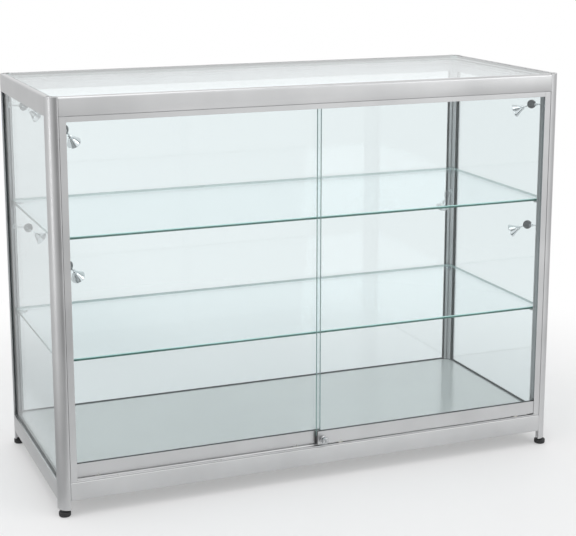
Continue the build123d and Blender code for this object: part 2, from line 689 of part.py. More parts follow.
plug_front = button_front - PLUG_PROUD
plug = rod_y(PLUG_RADIUS, plug_front, button_front + PLUG_DEPTH, x=lock_x, z=lock_z)
plug -= block(
    lock_x - KEYWAY_WIDTH / 2,
    lock_x + KEYWAY_WIDTH / 2,
    plug_front,
    plug_front + KEYWAY_DEPTH,
    lock_z - KEYWAY_HEIGHT / 2,
    lock_z + KEYWAY_HEIGHT / 2,
)
parts["lock_plug"] = plug

# Levelling feet: a hard rubber pad moulded on a steel stud that screws into the post's core
stud_low = FOOT_PAD_HEIGHT / 2
stud = rod_z(STUD_RADIUS, stud_low, stud_low + STUD_LENGTH, x=FOOT_INSET, y=FOOT_INSET)
pad = rod_z(FOOT_RADIUS, 0, FOOT_PAD_HEIGHT, x=FOOT_INSET, y=FOOT_INSET)
pad = fillet(pad.edges().sort_by(Axis.Z)[0], FOOT_EDGE)
neck_high = POST_CLEARANCE - FOOT_STOP_GAP
pad += rod_z(FOOT_NECK_RADIUS, FOOT_PAD_HEIGHT, neck_high, x=FOOT_INSET, y=FOOT_INSET)
pad -= stud
for corner, place in CORNERS.items():
    parts["foot_" + corner] = Compound(children=[place * pad, place * stud])

os.makedirs("parts", exist_ok=True)
for name, shape in parts.items():
    export_step(shape, "parts/" + name + ".step")
print(len(parts), "nodes")
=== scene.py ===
import json
import math

import bmesh
import bpy
from mathutils import Matrix, Vector


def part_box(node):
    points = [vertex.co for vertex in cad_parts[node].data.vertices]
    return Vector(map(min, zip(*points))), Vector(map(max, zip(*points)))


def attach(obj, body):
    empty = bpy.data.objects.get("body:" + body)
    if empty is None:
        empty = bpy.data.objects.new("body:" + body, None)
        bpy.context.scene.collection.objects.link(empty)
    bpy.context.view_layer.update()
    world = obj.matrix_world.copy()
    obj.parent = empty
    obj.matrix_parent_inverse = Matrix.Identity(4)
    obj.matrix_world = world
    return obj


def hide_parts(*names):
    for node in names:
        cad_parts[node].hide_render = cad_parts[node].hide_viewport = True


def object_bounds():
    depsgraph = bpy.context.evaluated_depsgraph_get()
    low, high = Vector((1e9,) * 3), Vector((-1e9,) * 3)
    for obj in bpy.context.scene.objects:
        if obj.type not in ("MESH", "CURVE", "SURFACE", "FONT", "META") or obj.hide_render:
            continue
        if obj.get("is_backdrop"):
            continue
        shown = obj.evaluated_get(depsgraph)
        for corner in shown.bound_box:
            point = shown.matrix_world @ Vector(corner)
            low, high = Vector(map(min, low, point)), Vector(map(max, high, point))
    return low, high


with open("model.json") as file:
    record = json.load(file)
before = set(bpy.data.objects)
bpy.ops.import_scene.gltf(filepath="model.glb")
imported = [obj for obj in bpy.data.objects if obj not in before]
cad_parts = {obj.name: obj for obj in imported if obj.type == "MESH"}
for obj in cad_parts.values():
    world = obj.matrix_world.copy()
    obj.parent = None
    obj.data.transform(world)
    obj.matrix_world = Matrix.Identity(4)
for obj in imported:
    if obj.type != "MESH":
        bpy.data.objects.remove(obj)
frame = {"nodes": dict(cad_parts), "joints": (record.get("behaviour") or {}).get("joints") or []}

cad_low, cad_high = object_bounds()
MM = 0.001

# ---------------------------------------------------------------------------------------------
# Posts. Four quarter-round aluminium extrusions, satin anodised silver, sawn to length and left
# open at the top. The die leaves fine lines along them and a small radius on every edge.
# ---------------------------------------------------------------------------------------------
POSTS = ["post_front_left", "post_front_right", "post_back_right", "post_back_left"]
EXTRUDED_EDGE = 0.3 * MM
FRONT_SEAM = 1.5 * MM      # roll of a profile's long edges in the front plane
SEAM_LENGTH = 0.4          # only edges longer than this are rolled
SEAM_SEGMENTS = 3
FRONT_DEPTH = 0.05 * MM    # how far back an edge may lie and still be in the front plane
WELD = 0.002 * MM          # corners nearer than this are one corner
FLAT_ANGLE = math.radians(0.6)
SHARP_ANGLE = math.radians(30)
SQUARE_ANGLE = math.radians(70)
SHORTEST_EASED = 4         # an edge shorter than this many easings stays as it is
ACROSS_DIE = 900.0         # die lines per metre, across the run
ALONG_DIE = 2.0            # their slow change along the run
DIE_DEPTH = 0.012 * MM
DIE_DULLING = 0.07         # roughness that the die lines add
SATIN = (0.3, 0.36)        # roughness of the anodised skin
SILVER_DARK = (0.53, 0.535, 0.54, 1.0)
SILVER_LIGHT = (0.61, 0.615, 0.62, 1.0)


def new_finish(name):
    """An empty procedural finish and its node tree."""
    finish = bpy.data.materials.new(name)
    finish.use_nodes = True
    finish.node_tree.nodes.clear()
    return finish, finish.node_tree


def add(tree, kind, *sockets, **named):
    """Add a shader node. Sockets take a value or a link, other names are the node's settings."""
    made = tree.nodes.new("ShaderNode" + kind)
    given = dict(enumerate(sockets))
    for name, value in named.items():
        if name.replace("_", " ") in made.inputs:
            given[name.replace("_", " ")] = value
        else:
            setattr(made, name, value)
    for name, value in given.items():
        if isinstance(value, bpy.types.NodeSocket):
            tree.links.new(value, made.inputs[name])
        elif value is not None:
            made.inputs[name].default_value = value
    return made


def show(tree, shader):
    """Make a shader the finish's surface."""
    add(tree, "OutputMaterial", Surface=shader.outputs[0])


def grain(tree, scale, detail=3.0, stretch=(1.0, 1.0, 1.0), roughness=0.5):
    """Noise that lies in the metal or plastic itself, in metres, stretched along an axis."""
    place = add(tree, "TexCoord").outputs["Object"]
    laid = add(tree, "Mapping", Vector=place, Scale=stretch).outputs[0]
    made = add(tree, "TexNoise", Vector=laid, Scale=scale, Detail=detail, Roughness=roughness)
    return made.outputs["Fac"]


def spread(tree, value, low, high, value_low=0.3, value_high=0.7):
    """Bring a noise value into the range from low to high."""
    return add(tree, "MapRange", value, value_low, value_high, low, high).outputs[0]


def toned(tree, value, dark, light, value_low=0.3, value_high=0.7):
    """A colour between dark and light, chosen by a noise value."""
    tones = add(tree, "ValToRGB", value)
    tones.color_ramp.elements[0].position = value_low
    tones.color_ramp.elements[0].color = dark
    tones.color_ramp.elements[1].position = value_high
    tones.color_ramp.elements[1].color = light
    return tones.outputs[0]


def raised(tree, value, depth, strength=1.0):
    """A bump of that depth in metres."""
    return add(tree, "Bump", Strength=strength, Distance=depth, Height=value).outputs[0]


def anodised(name, run):
    """Satin anodised aluminium with die lines along the run, which is axis 0, 1 or 2."""
    finish, tree = new_finish(name)
    lines = [ACROSS_DIE] * 3
    lines[run] = ALONG_DIE
    die = grain(tree, 1.0, 2.0, lines)
    cloud = grain(tree, 9.0, 2.0)
    colour = toned(tree, cloud, SILVER_DARK, SILVER_LIGHT, 0.25, 0.75)
    satin = add(tree, "Math", spread(tree, die, 0.0, DIE_DULLING), spread(tree, cloud, *SATIN))
    show(tree, add(
        tree, "BsdfPrincipled", Base_Color=colour, Metallic=1.0, Roughness=satin.outputs[0],
        Normal=raised(tree, die, DIE_DEPTH, 0.35),
    ))
    return finish


def eased(node, easing, seam=0.0):
    """A node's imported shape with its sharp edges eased, as a mesh to work on.

    Long square edges in the shape's front plane are rolled by the seam, if there is one."""
    work = bmesh.new()
    work.from_mesh(frame["nodes"][node].data)
    bmesh.ops.remove_doubles(work, verts=work.verts, dist=WELD)
    bmesh.ops.dissolve_limit(work, angle_limit=FLAT_ANGLE, verts=work.verts, edges=work.edges)
    sharpest = SHARP_ANGLE
    if seam:
        front = min(vertex.co.y for vertex in work.verts) + FRONT_DEPTH
        rolled = [
            edge for edge in work.edges
            if edge.is_manifold and edge.calc_face_angle() > SQUARE_ANGLE
            and edge.calc_length() > SEAM_LENGTH and max(v.co.y for v in edge.verts) < front
        ]
        bmesh.ops.bevel(work, geom=rolled, offset=seam, segments=SEAM_SEGMENTS, profile=0.5,
                        affect="EDGES", clamp_overlap=True)
        sharpest = SQUARE_ANGLE
    sharp = [
        edge for edge in work.edges
        if edge.is_manifold and edge.calc_face_angle() > sharpest
        and edge.calc_length() > SHORTEST_EASED * easing
    ]
    bmesh.ops.bevel(work, geom=sharp, offset=easing, segments=1, profile=0.5,
                    affect="EDGES", clamp_overlap=True)
    return work


def piece(name, work, finishes, body, slot, *nodes):
    """Make a finished piece from a mesh, ride it on its body and let it stand for its nodes."""
    mesh = bpy.data.meshes.new(name)
    work.normal_update()
    work.to_mesh(mesh)
    work.free()
    mesh.shade_smooth()
    mesh.set_sharp_from_angle(angle=SHARP_ANGLE)
    for finish in finishes:
        mesh.materials.append(finish)
    made = bpy.data.objects.new(name, mesh)
    bpy.context.scene.collection.objects.link(made)
    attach(made, body)
    if nodes:
        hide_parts(*nodes)
    return made


ALUMINIUM = [anodised(f"satin_anodised_run_{axis}", run) for run, axis in enumerate("xyz")]
for post in POSTS:
    piece("extruded_" + post, eased(post, EXTRUDED_EDGE, FRONT_SEAM), [ALUMINIUM[2]], "case",
          "anodised_aluminium", post)

# ---------------------------------------------------------------------------------------------
# Rails. Box-section extrusions of the same silver aluminium that butt between the posts, with a
# groove or a ledge for the glass, and a rounded rim round the top pane.
# ---------------------------------------------------------------------------------------------
for wall, run in (("front", 0), ("back", 0), ("left", 1), ("right", 1)):
    for level in ("top", "bottom"):
        rail = f"{level}_rail_{wall}"
        piece("extruded_" + rail, eased(rail, EXTRUDED_EDGE, FRONT_SEAM), [ALUMINIUM[run]], "case",
              "anodised_aluminium", rail)

# ---------------------------------------------------------------------------------------------
# Corner connectors. Die-cast zinc blocks driven into the rail ends, with a tongue that locks in
# the post's groove. The casting skin is dull and slightly pebbled.
# ---------------------------------------------------------------------------------------------
CAST_EDGE = 0.3 * MM


def cast_zinc(name):
    """Dull grey zinc with a fine cast skin."""
    finish, tree = new_finish(name)
    skin = grain(tree, 1400.0, 4.0)
    cloud = grain(tree, 60.0, 2.0)
    colour = toned(tree, cloud, (0.36, 0.37, 0.38, 1.0), (0.47, 0.48, 0.49, 1.0))
    show(tree, add(
        tree, "BsdfPrincipled", Base_Color=colour, Metallic=0.9,
        Roughness=spread(tree, skin, 0.38, 0.52), Normal=raised(tree, skin, 0.05 * MM, 0.5),
    ))
    return finish


ZINC = cast_zinc("cast_zinc")
piece("corner_connectors", eased("rail_connectors", CAST_EDGE), [ZINC], "case", "zinc_casting",
      "rail_connectors")

# ---------------------------------------------------------------------------------------------
# Side, back and top panes. Clear float glass with ground and arrised edges, a faint aqua body
# colour, and a deeper green where you look into an edge.
# ---------------------------------------------------------------------------------------------
ARRIS = 0.5 * MM
PANE_TINT = (0.945, 0.966, 0.969, 1.0)
HEAD_ON_MIRROR = 0.035     # share of light that each glass surface mirrors, seen square on
GRAZING_MIRROR = 0.85      # the same at the flattest angle
POLISH_TINT = (0.97, 0.985, 0.99, 1.0)
FLAT_FACING = 0.99         # how squarely a pane's flat faces look along its thin axis
FRONT_FACING = -0.4        # an edge face whose y direction is below this looks to the front


def float_glass(name, tint):
    """Both flat faces of a pane: see-through with a faint body colour, and a polished surface."""
    finish, tree = new_finish(name)
    facing = add(tree, "LayerWeight", 0.5).outputs["Facing"]
    steep = add(tree, "Math", facing, 5.0, operation="POWER").outputs[0]
    mirror = add(tree, "MapRange", steep, 0.0, 1.0, HEAD_ON_MIRROR, GRAZING_MIRROR).outputs[0]
    wave = raised(tree, grain(tree, 5.0, 1.0), 0.3 * MM, 0.25)
    through = add(tree, "BsdfTransparent", Color=tint)
    polish = add(
        tree, "BsdfAnisotropic", Color=POLISH_TINT,
        Roughness=spread(tree, grain(tree, 7.0, 3.0), 0.0, 0.05), Normal=wave,
    )
    show(tree, add(tree, "MixShader", mirror, through.outputs[0], polish.outputs[0]))
    return finish


def glass_edge(name, deep, pale, roughness):
    """The narrow edge of a pane: green glass with fine grinding marks."""
    finish, tree = new_finish(name)
    marks = grain(tree, 900.0, 3.0)
    depth = grain(tree, 14.0, 3.0)
    show(tree, add(
        tree, "BsdfPrincipled", Base_Color=toned(tree, depth, deep, pale),
        Roughness=spread(tree, marks, roughness, roughness + 0.12), IOR=1.5,
        Coat_Weight=0.6, Coat_Roughness=0.08, Normal=raised(tree, marks, 0.01 * MM, 0.4),
    ))
    return finish


def pane_of(node, arris, far=1):
    """A pane with arrised edges. Its flat faces take the first finish, its edges the second.

    The edges that don't face the front may take another one."""
    work = eased(node, arris)
    low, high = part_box(node)
    thin = min(range(3), key=lambda axis: high[axis] - low[axis])
    for face in work.faces:
        edge = 1 if face.normal.y < FRONT_FACING else far
        face.material_index = 0 if abs(face.normal[thin]) > FLAT_FACING else edge
    return work


FLOAT = float_glass("clear_float_glass", PANE_TINT)
GROUND_EDGE = glass_edge("ground_glass_edge", (0.11, 0.2, 0.19, 1.0), (0.2, 0.32, 0.3, 1.0), 0.2)
for pane in ("glass_left", "glass_right", "glass_back", "glass_top"):
    piece("pane_" + pane, pane_of(pane, ARRIS), [FLOAT, GROUND_EDGE], "case", "clear_glass", pane)

# ---------------------------------------------------------------------------------------------
# Seals. Black rubber strip up each side and back pane and beside the top pane, and grey strip
# along the bottom of the panes and round the base panel, all pushed in dry.
# ---------------------------------------------------------------------------------------------
SEAL_EDGE = 0.15 * MM
GREY_HEIGHT = 3 * MM       # strip that lies below this height over the base panel is grey


def rubber(name, dark, light, roughness, scale):
    """Dull rubber with a finely grained skin and a faint bloom."""
    finish, tree = new_finish(name)
    skin = grain(tree, scale, 4.0)
    bloom = grain(tree, 25.0, 3.0)
    show(tree, add(
        tree, "BsdfPrincipled", Base_Color=toned(tree, bloom, dark, light),
        Roughness=spread(tree, skin, roughness, roughness + 0.12), IOR=1.5,
        Normal=raised(tree, skin, 0.03 * MM, 0.5),
    ))
    return finish


SEAL = rubber("black_seal_rubber", (0.05, 0.056, 0.058, 1.0), (0.09, 0.098, 0.1, 1.0), 0.34,
              1500.0)
GREY_SEAL = rubber("grey_seal_rubber", (0.2, 0.21, 0.21, 1.0), (0.26, 0.27, 0.27, 1.0), 0.34,
                   1500.0)
grey_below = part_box("base_panel")[1].z + GREY_HEIGHT
work = eased("panel_seals", SEAL_EDGE)
for face in work.faces:
    if face.calc_center_median().z < grey_below:
        face.material_index = 1
piece("pane_seals", work, [SEAL, GREY_SEAL], "case", "black_seal", "panel_seals")

# ---------------------------------------------------------------------------------------------
# Base panel. Board faced with a pale grey laminate, fine speckle in the print and a low sheen,
# dropped on to the rails' ledges.
# ---------------------------------------------------------------------------------------------
BOARD_EDGE = 0.3 * MM


def laminate(name):
    """Pale grey laminate with a faint speckle and the slight orange peel of a pressed face."""
    finish, tree = new_finish(name)
    speckle = grain(tree, 900.0, 2.0)
    cloud = grain(tree, 6.0, 3.0)
    peel = grain(tree, 160.0, 1.0)
    base = toned(tree, cloud, (0.51, 0.518, 0.512, 1.0), (0.54, 0.55, 0.542, 1.0))
    flecks = toned(tree, speckle, (0.86, 0.87, 0.87, 1.0), (1.0, 1.0, 1.0, 1.0), 0.34, 0.5)
    colour = add(tree, "Mix", data_type="RGBA", blend_type="MULTIPLY")
    colour.inputs[0].default_value = 1.0
    tree.links.new(base, colour.inputs[6])
    tree.links.new(flecks, colour.inputs[7])
    show(tree, add(
        tree, "BsdfPrincipled", Base_Color=colour.outputs[2],
        Roughness=spread(tree, cloud, 0.17, 0.23), IOR=1.5, Coat_Weight=0.5, Coat_Roughness=0.12,
        Normal=raised(tree, peel, 0.03 * MM, 0.12),
    ))
    return finish


piece("laminate_base_panel", eased("base_panel", BOARD_EDGE), [laminate("pale_laminate")], "case",
      "base_board", "base_panel")

# ---------------------------------------------------------------------------------------------
# Door tracks and jambs. One double-channel extrusion, screwed to the front rails and posts:
# open upwards below, downwards above, and inwards at the sides.
# ---------------------------------------------------------------------------------------------
TRACK_EDGE = 0.15 * MM
TRACK_SEAM = 0.6 * MM
FITTING_GAP = 0.6 * MM     # the hairline gap where a track or jamb meets its rail or post
opening_low, opening_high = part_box("door_track_bottom")[0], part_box("door_track_top")[1]
opening_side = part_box("door_jamb_right")[1].x
for track, run in (("door_track_bottom", 0), ("door_track_top", 0),
                   ("door_jamb_left", 2), ("door_jamb_right", 2)):
    work = eased(track, TRACK_EDGE, TRACK_SEAM)
    for vertex in work.verts:
        spot = vertex.co
        spot.x = max(-opening_side + FITTING_GAP, min(spot.x, opening_side - FITTING_GAP))
        spot.z = max(opening_low.z + FITTING_GAP, min(spot.z, opening_high.z - FITTING_GAP))
    piece("extruded_" + track, work, [ALUMINIUM[run]], "case", "anodised_aluminium", track)

# ---------------------------------------------------------------------------------------------
# Track screws. Countersunk steel screws, bright zinc plated, with a cross recess, their heads
# level with the channel's floor.
# ---------------------------------------------------------------------------------------------
TURNING_STEPS = 40
RECESS_TAPER = 0.6         # the recess's floor against its mouth
HEAD_RADIUS = 2.75
SHANK_RADIUS = 1.6
CROSS_DEPTH = 0.9
HEAD_WELD = 0.005 * MM     # joins the head's face to the turned body


def turned(work, outline, place, steps=TURNING_STEPS, finish=0, closed=False):
    """Turn an outline of (height, radius) points about the local z axis, in millimetres."""
    rings = []
    for height, radius in outline:
        if radius == 0:
            rings.append([work.verts.new(place @ Vector((0, 0, height * MM)))])
            continue
        ring = []
        for step in range(steps):
            turn = 2 * math.pi * step / steps
            spot = Vector((radius * math.cos(turn), radius * math.sin(turn), height)) * MM
            ring.append(work.verts.new(place @ spot))
        rings.append(ring)
    if closed:
        rings.append(rings[0])
    for first, second in zip(rings, rings[1:]):
        for step in range(steps):
            after = (step + 1) % steps
            if len(first) == 1:
                corners = [first[0], second[after], second[step]]
            elif len(second) == 1:
                corners = [first[step], first[after], second[0]]
            else:
                corners = [first[step], first[after], second[after], second[step]]
            work.faces.new(corners).material_index = finish


def loose_boxes(node):
    """The box of each separate solid in a node, as pairs of lowest and highest corner."""
    work = bmesh.new()
    work.from_mesh(frame["nodes"][node].data)
    bmesh.ops.remove_doubles(work, verts=work.verts, dist=WELD)
    left = set(work.verts)
    boxes = []
    while left:
        group = [left.pop()]
        low, high = group[0].co.copy(), group[0].co.copy()
        while group:
            spot = group.pop()
            low = Vector(map(min, low, spot.co))
            high = Vector(map(max, high, spot.co))
            for edge in spot.link_edges:
                near = edge.other_vert(spot)
                if near in left:
                    left.remove(near)
                    group.append(near)
        boxes.append((low, high))
    work.free()
    return sorted(boxes, key=lambda box: tuple(box[0]))


def plated_steel(name):
    """Bright zinc-plated steel with a slight warm haze."""
    finish, tree = new_finish(name)
    haze = grain(tree, 300.0, 3.0)
    colour = toned(tree, haze, (0.5, 0.5, 0.48, 1.0), (0.62, 0.62, 0.6, 1.0))
    show(tree, add(
        tree, "BsdfPrincipled", Base_Color=colour, Metallic=1.0,
        Roughness=spread(tree, haze, 0.2, 0.34),
    ))
    return finish


def recessed_head(work, place, radius, points, depth):
    """A flat screw head with a sunk recess of that outline, in millimetres."""
    rim = []
    for step in range(TURNING_STEPS):
        turn = 2 * math.pi * step / TURNING_STEPS
        spot = Vector((math.cos(turn), math.sin(turn), 0)) * radius * MM
        rim.append(work.verts.new(place @ spot))
    mouth = [work.verts.new(place @ (Vector((x, y, 0)) * MM)) for x, y in points]
    floor = []
    for x, y in points:
        spot = Vector((RECESS_TAPER * x, RECESS_TAPER * y, -depth)) * MM
        floor.append(work.verts.new(place @ spot))
    loops = []
    for ring in (rim, mouth):
        for first, second in zip(ring, ring[1:] + ring[:1]):
            loops.append(work.edges.new((first, second)))
    bmesh.ops.triangle_fill(work, use_beauty=True, edges=loops)
    for number, first in enumerate(mouth):
        after = (number + 1) % len(mouth)
        work.faces.new((first, mouth[after], floor[after], floor[number]))
    work.faces.new(floor)


STEEL = plated_steel("zinc_plated_steel")
CROSS = [(0.3, 0.3), (1.5, 0.3), (1.5, -0.3), (0.3, -0.3), (0.3, -1.5), (-0.3, -1.5),
         (-0.3, -0.3), (-1.5, -0.3), (-1.5, 0.3), (-0.3, 0.3), (-0.3, 1.5), (0.3, 1.5)]
COUNTERSINK = [(0, HEAD_RADIUS), (-0.12, HEAD_RADIUS + 0.03), (-1.5, SHANK_RADIUS),
               (-9.0, SHANK_RADIUS), (-9.0, 0)]
work = bmesh.new()
for low, high in loose_boxes("track_screws"):
    middle = (low + high) / 2
    if high.z - low.z > high.x - low.x:
        up = 1 if middle.z < (cad_low.z + cad_high.z) / 2 else -1
        facing = Vector((0, 0, up))
    else:
        facing = Vector((-1 if middle.x > 0 else 1, 0, 0))
    head = Vector((
        (low, high)[facing[axis] > 0][axis] if facing[axis] else middle[axis] for axis in range(3)
    ))
    place = Matrix.Translation(head) @ facing.to_track_quat("Z", "X").to_matrix().to_4x4()
    turned(work, COUNTERSINK, place)
    recessed_head(work, place, HEAD_RADIUS, CROSS, CROSS_DEPTH)
bmesh.ops.remove_doubles(work, verts=work.verts, dist=HEAD_WELD)
bmesh.ops.recalc_face_normals(work, faces=work.faces)
piece("countersunk_screws", work, [STEEL], "case", "plated_steel", "track_screws")

# ---------------------------------------------------------------------------------------------
# Shelf clips. Die-cast blocks with a T foot in the post's slot and a tab under the shelf's
# corner, each locked by a small socket grub screw and topped with a clear pad.
# ---------------------------------------------------------------------------------------------
CLIP_EDGE = 0.3 * MM
PAD_EDGE = 0.2 * MM
GRUB_RADIUS = 1.6
GRUB_FACE = 1.5            # radius of the grub screw's end face, inside its chamfer
GRUB_STEPS = 24
SOCKET_REACH = 0.85        # centre of the hexagon socket to its corners
SOCKET_DEPTH = 1.2
HEXAGON = [
    (SOCKET_REACH * math.cos(math.pi * k / 3), SOCKET_REACH * math.sin(math.pi * k / 3))
    for k in range(6)
]
MILKY = ((0.66, 0.69, 0.7, 1.0), (0.8, 0.83, 0.84, 1.0))


def clear_rubber(name):
    """Milky clear rubber."""
    finish, tree = new_finish(name)
    cloud = grain(tree, 500.0, 2.0)
    show(tree, add(
        tree, "BsdfPrincipled", Base_Color=toned(tree, cloud, *MILKY),
        Roughness=spread(tree, cloud, 0.22, 0.32), IOR=1.45, Subsurface_Weight=0.3,
        Subsurface_Scale=0.002,
    ))
    return finish


piece("shelf_clip_castings", eased("shelf_clips", CLIP_EDGE), [ZINC], "case", "zinc_casting",
      "shelf_clips")
work = bmesh.new()
for low, high in loose_boxes("shelf_clip_screws"):
    middle = (low + high) / 2
    inward = Vector((-math.copysign(1, middle.x), -math.copysign(1, middle.y), 0)).normalized()
    length = (high.x - low.x) * math.sqrt(2) - 2 * GRUB_RADIUS * MM
    place = (Matrix.Translation(middle + inward * length / 2)
             @ inward.to_track_quat("Z", "X").to_matrix().to_4x4())
    grub = [(0, GRUB_FACE), (-0.1, GRUB_RADIUS), (-length / MM, GRUB_RADIUS), (-length / MM, 0)]
    turned(work, grub, place, GRUB_STEPS)
    recessed_head(work, place, GRUB_FACE, HEXAGON, SOCKET_DEPTH)
bmesh.ops.recalc_face_normals(work, faces=work.faces)
piece("clip_grub_screws", work, [STEEL], "case", "plated_steel", "shelf_clip_screws")
piece("clip_pads", eased("shelf_pads", PAD_EDGE), [clear_rubber("milky_clear_rubber")], "case",
      "clear_pads", "shelf_pads")

# ---------------------------------------------------------------------------------------------
# Shelves. Two 6 mm glass shelves with polished edges and cut corners, lying loose on the pads.
# ---------------------------------------------------------------------------------------------
SHELF_ARRIS = 0.6 * MM
SHELF_TINT = (0.96, 0.977, 0.979, 1.0)
SHELF_FLOAT = float_glass("shelf_float_glass", SHELF_TINT)
DEEP_GREEN = (0.02, 0.118, 0.092, 1.0)
PAINTED_HIGHLIGHT_GREEN = (0.56, 0.9, 0.84, 1.0)
PALE_GREEN = ((0.36, 0.47, 0.46, 1.0), (0.46, 0.58, 0.56, 1.0))
PAINTED_HIGHLIGHT_FROM = (0.64, 0.8)     # share of the edge's height where deep green turns to the painted highlight's aqua
PAINTED_HIGHLIGHT_DRIFT = 0.08           # how far that place wanders along the edge


def polished_edge_painted_highlight(name):
    """A polished edge in deep green glass, with a painted highlight of bright aqua along its top.
    """
    finish, tree = new_finish(name)
    # painted highlight: the upper part of the edge is painted bright aqua, the lower part keeps
    # the glass's deep green
    rise = add(tree, "SeparateXYZ", add(tree, "TexCoord").outputs["Generated"]).outputs["Z"]
    drift = spread(tree, grain(tree, 9.0, 3.0), -PAINTED_HIGHLIGHT_DRIFT, PAINTED_HIGHLIGHT_DRIFT)
    level = add(tree, "Math", rise, drift).outputs[0]
    marks = grain(tree, 700.0, 3.0)
    show(tree, add(
        tree, "BsdfPrincipled", Base_Color=toned(tree, level, DEEP_GREEN, PAINTED_HIGHLIGHT_GREEN, *PAINTED_HIGHLIGHT_FROM),
        Roughness=spread(tree, marks, 0.05, 0.14), IOR=1.5, Coat_Weight=0.5, Coat_Roughness=0.04,
    ))
    return finish


POLISHED_EDGE_PAINTED_HIGHLIGHT = polished_edge_painted_highlight("polished_glass_edge_painted_highlight")
FAR_EDGE = glass_edge("arrised_glass_edge", *PALE_GREEN, 0.12)
for shelf in ("shelf_lower", "shelf_upper"):
    piece("pane_" + shelf, pane_of(shelf, SHELF_ARRIS, 2), [SHELF_FLOAT, POLISHED_EDGE_PAINTED_HIGHLIGHT, FAR_EDGE],
          "case", "shelf_glass", shelf)

# ---------------------------------------------------------------------------------------------
# Spotlights. Small display spots on the posts: a bright bracket clamped in the slot, a knuckle
# of two dark friction discs, and a turned bright shade with a faceted reflector round its lamp.
# ---------------------------------------------------------------------------------------------
LEVELS = ("upper", "lower")
CORNERS = ("front_left", "front_right", "back_right", "back_left")
REACH = 40.0               # slot face to the knuckle's pin
TILT_RANGE_TOP = 80.0      # degrees below level at a joint's upper limit
FACETS = 20
ROD_STEPS = 24             # steps round the thin turned parts
PIN_STEPS = 20
SHADE_STEPS = 60
LAMP_STEPS = 28
BEAM_OFFSET = (0, -2, 0)   # the arm and shade sit to one side of the knuckle's middle
FORK_EASING = 0.8
DISC_TONES = ((0.1, 0.103, 0.108, 1.0), (0.14, 0.144, 0.15, 1.0))
FROST_TONES = ((0.86, 0.86, 0.84, 1.0), (0.94, 0.94, 0.92, 1.0))


def chrome(name, colour, roughness):
    """Polished plating with faint hand marks."""
    finish, tree = new_finish(name)
    marks = grain(tree, 120.0, 4.0)
    dark = tuple(0.93 * part for part in colour[:3]) + (1.0,)
    show(tree, add(
        tree, "BsdfPrincipled", Base_Color=toned(tree, marks, dark, colour), Metallic=1.0,
        Roughness=spread(tree, marks, roughness, roughness + 0.06),
    ))
    return finish


def moulded_plastic(name, dark, light):
    """Dark moulded plastic with a fine spark grain."""
    finish, tree = new_finish(name)
    spark = grain(tree, 2200.0, 2.0)
    show(tree, add(
        tree, "BsdfPrincipled", Base_Color=toned(tree, spark, dark, light),
        Roughness=spread(tree, spark, 0.24, 0.34), IOR=1.5,
        Normal=raised(tree, spark, 0.02 * MM, 0.3),
    ))
    return finish


def lamp_glass(name):
    """Frosted glass of a small capsule lamp."""
    finish, tree = new_finish(name)
    frost = grain(tree, 1800.0, 2.0)
    show(tree, add(
        tree, "BsdfPrincipled", Base_Color=toned(tree, frost, *FROST_TONES),
        Roughness=spread(tree, frost, 0.25, 0.4), IOR=1.5, Subsurface_Weight=0.4,
        Subsurface_Scale=0.003,
    ))
    return finish


def joint_named(name):
    """The frame's row for a joint: its point, axis and range."""
    for joint in frame["joints"]:
        if joint["name"] == name:
            return joint
    raise ValueError(name)


def along(axis, spot=(0, 0, 0)):
    """The place of a turned part that lies along local x or y, from a point in millimetres."""
    turn = {"x": Matrix.Rotation(math.pi / 2, 4, "Y"), "y": Matrix.Rotation(-math.pi / 2, 4, "X")}
    return Matrix.Translation(Vector(spot) * MM) @ turn[axis]


def bar(work, low, high, place, easing=0.3):
    """Add a small rectangular bar with eased edges, from corner to corner in millimetres."""
    made = bmesh.new()
    bmesh.ops.create_cube(made, size=1.0)
    low, high = Vector(low), Vector(high)
    for vertex in made.verts:
        vertex.co = Vector(
            (low[k] + (vertex.co[k] + 0.5) * (high[k] - low[k])) * MM for k in range(3)
        )
    bmesh.ops.bevel(made, geom=made.edges, offset=easing * MM, segments=1, profile=0.5,
                    affect="EDGES", clamp_overlap=True)
    made.transform(place)
    cut = bpy.data.meshes.new("bar")
    made.to_mesh(cut)
    made.free()
    work.from_mesh(cut)
    bpy.data.meshes.remove(cut)


BRIGHT = chrome("bright_chrome", (0.84, 0.85, 0.86, 1.0), 0.07)
MIRROR = chrome("faceted_mirror", (0.9, 0.9, 0.91, 1.0), 0.1)
KNUCKLE_DARK = moulded_plastic("dark_friction_disc", *DISC_TONES)
LAMP = lamp_glass("frosted_lamp")
SLOT_FOOT = ((-3.9, -3.9, -7), (-1.6, 3.9, 7))
SLOT_NECK = ((-1.8, -2.4, -7), (0.2, 2.4, 7))
FORK = ((26.4, 0.4, -3.4), (34.0, 3.4, 3.4))
PIN = [(-3.8, 0), (-3.8, 1.3), (-3.6, 1.5), (0.3, 1.5)]
ROSETTE = [(0, 0), (0, 5.5), (0.9, 5.5), (1.3, 5.1), (1.7, 3.9), (2.4, 3.5), (2.4, 1.8)]
STEM = [(2.3, 1.8), (6.5, 1.8), (6.5, 2.3), (7.1, 2.5), (8.9, 2.5), (9.5, 2.3), (9.5, 1.8),
        (28.2, 1.8), (28.2, 0)]
NEAR_DISC = [(0.2, 0), (0.2, 9.6), (0.5, 10.0), (3.0, 10.0), (3.7, 9.3), (3.8, 8.6), (3.3, 7.9),
             (3.3, 3.4), (3.8, 3.0), (3.8, 0)]
FAR_DISC = [(-0.2, 1.6), (-0.2, 9.6), (-0.5, 10.0), (-3.0, 10.0), (-3.7, 9.3), (-3.8, 8.6),
            (-3.3, 7.9), (-3.3, 3.4), (-3.8, 3.0), (-3.8, 1.6)]
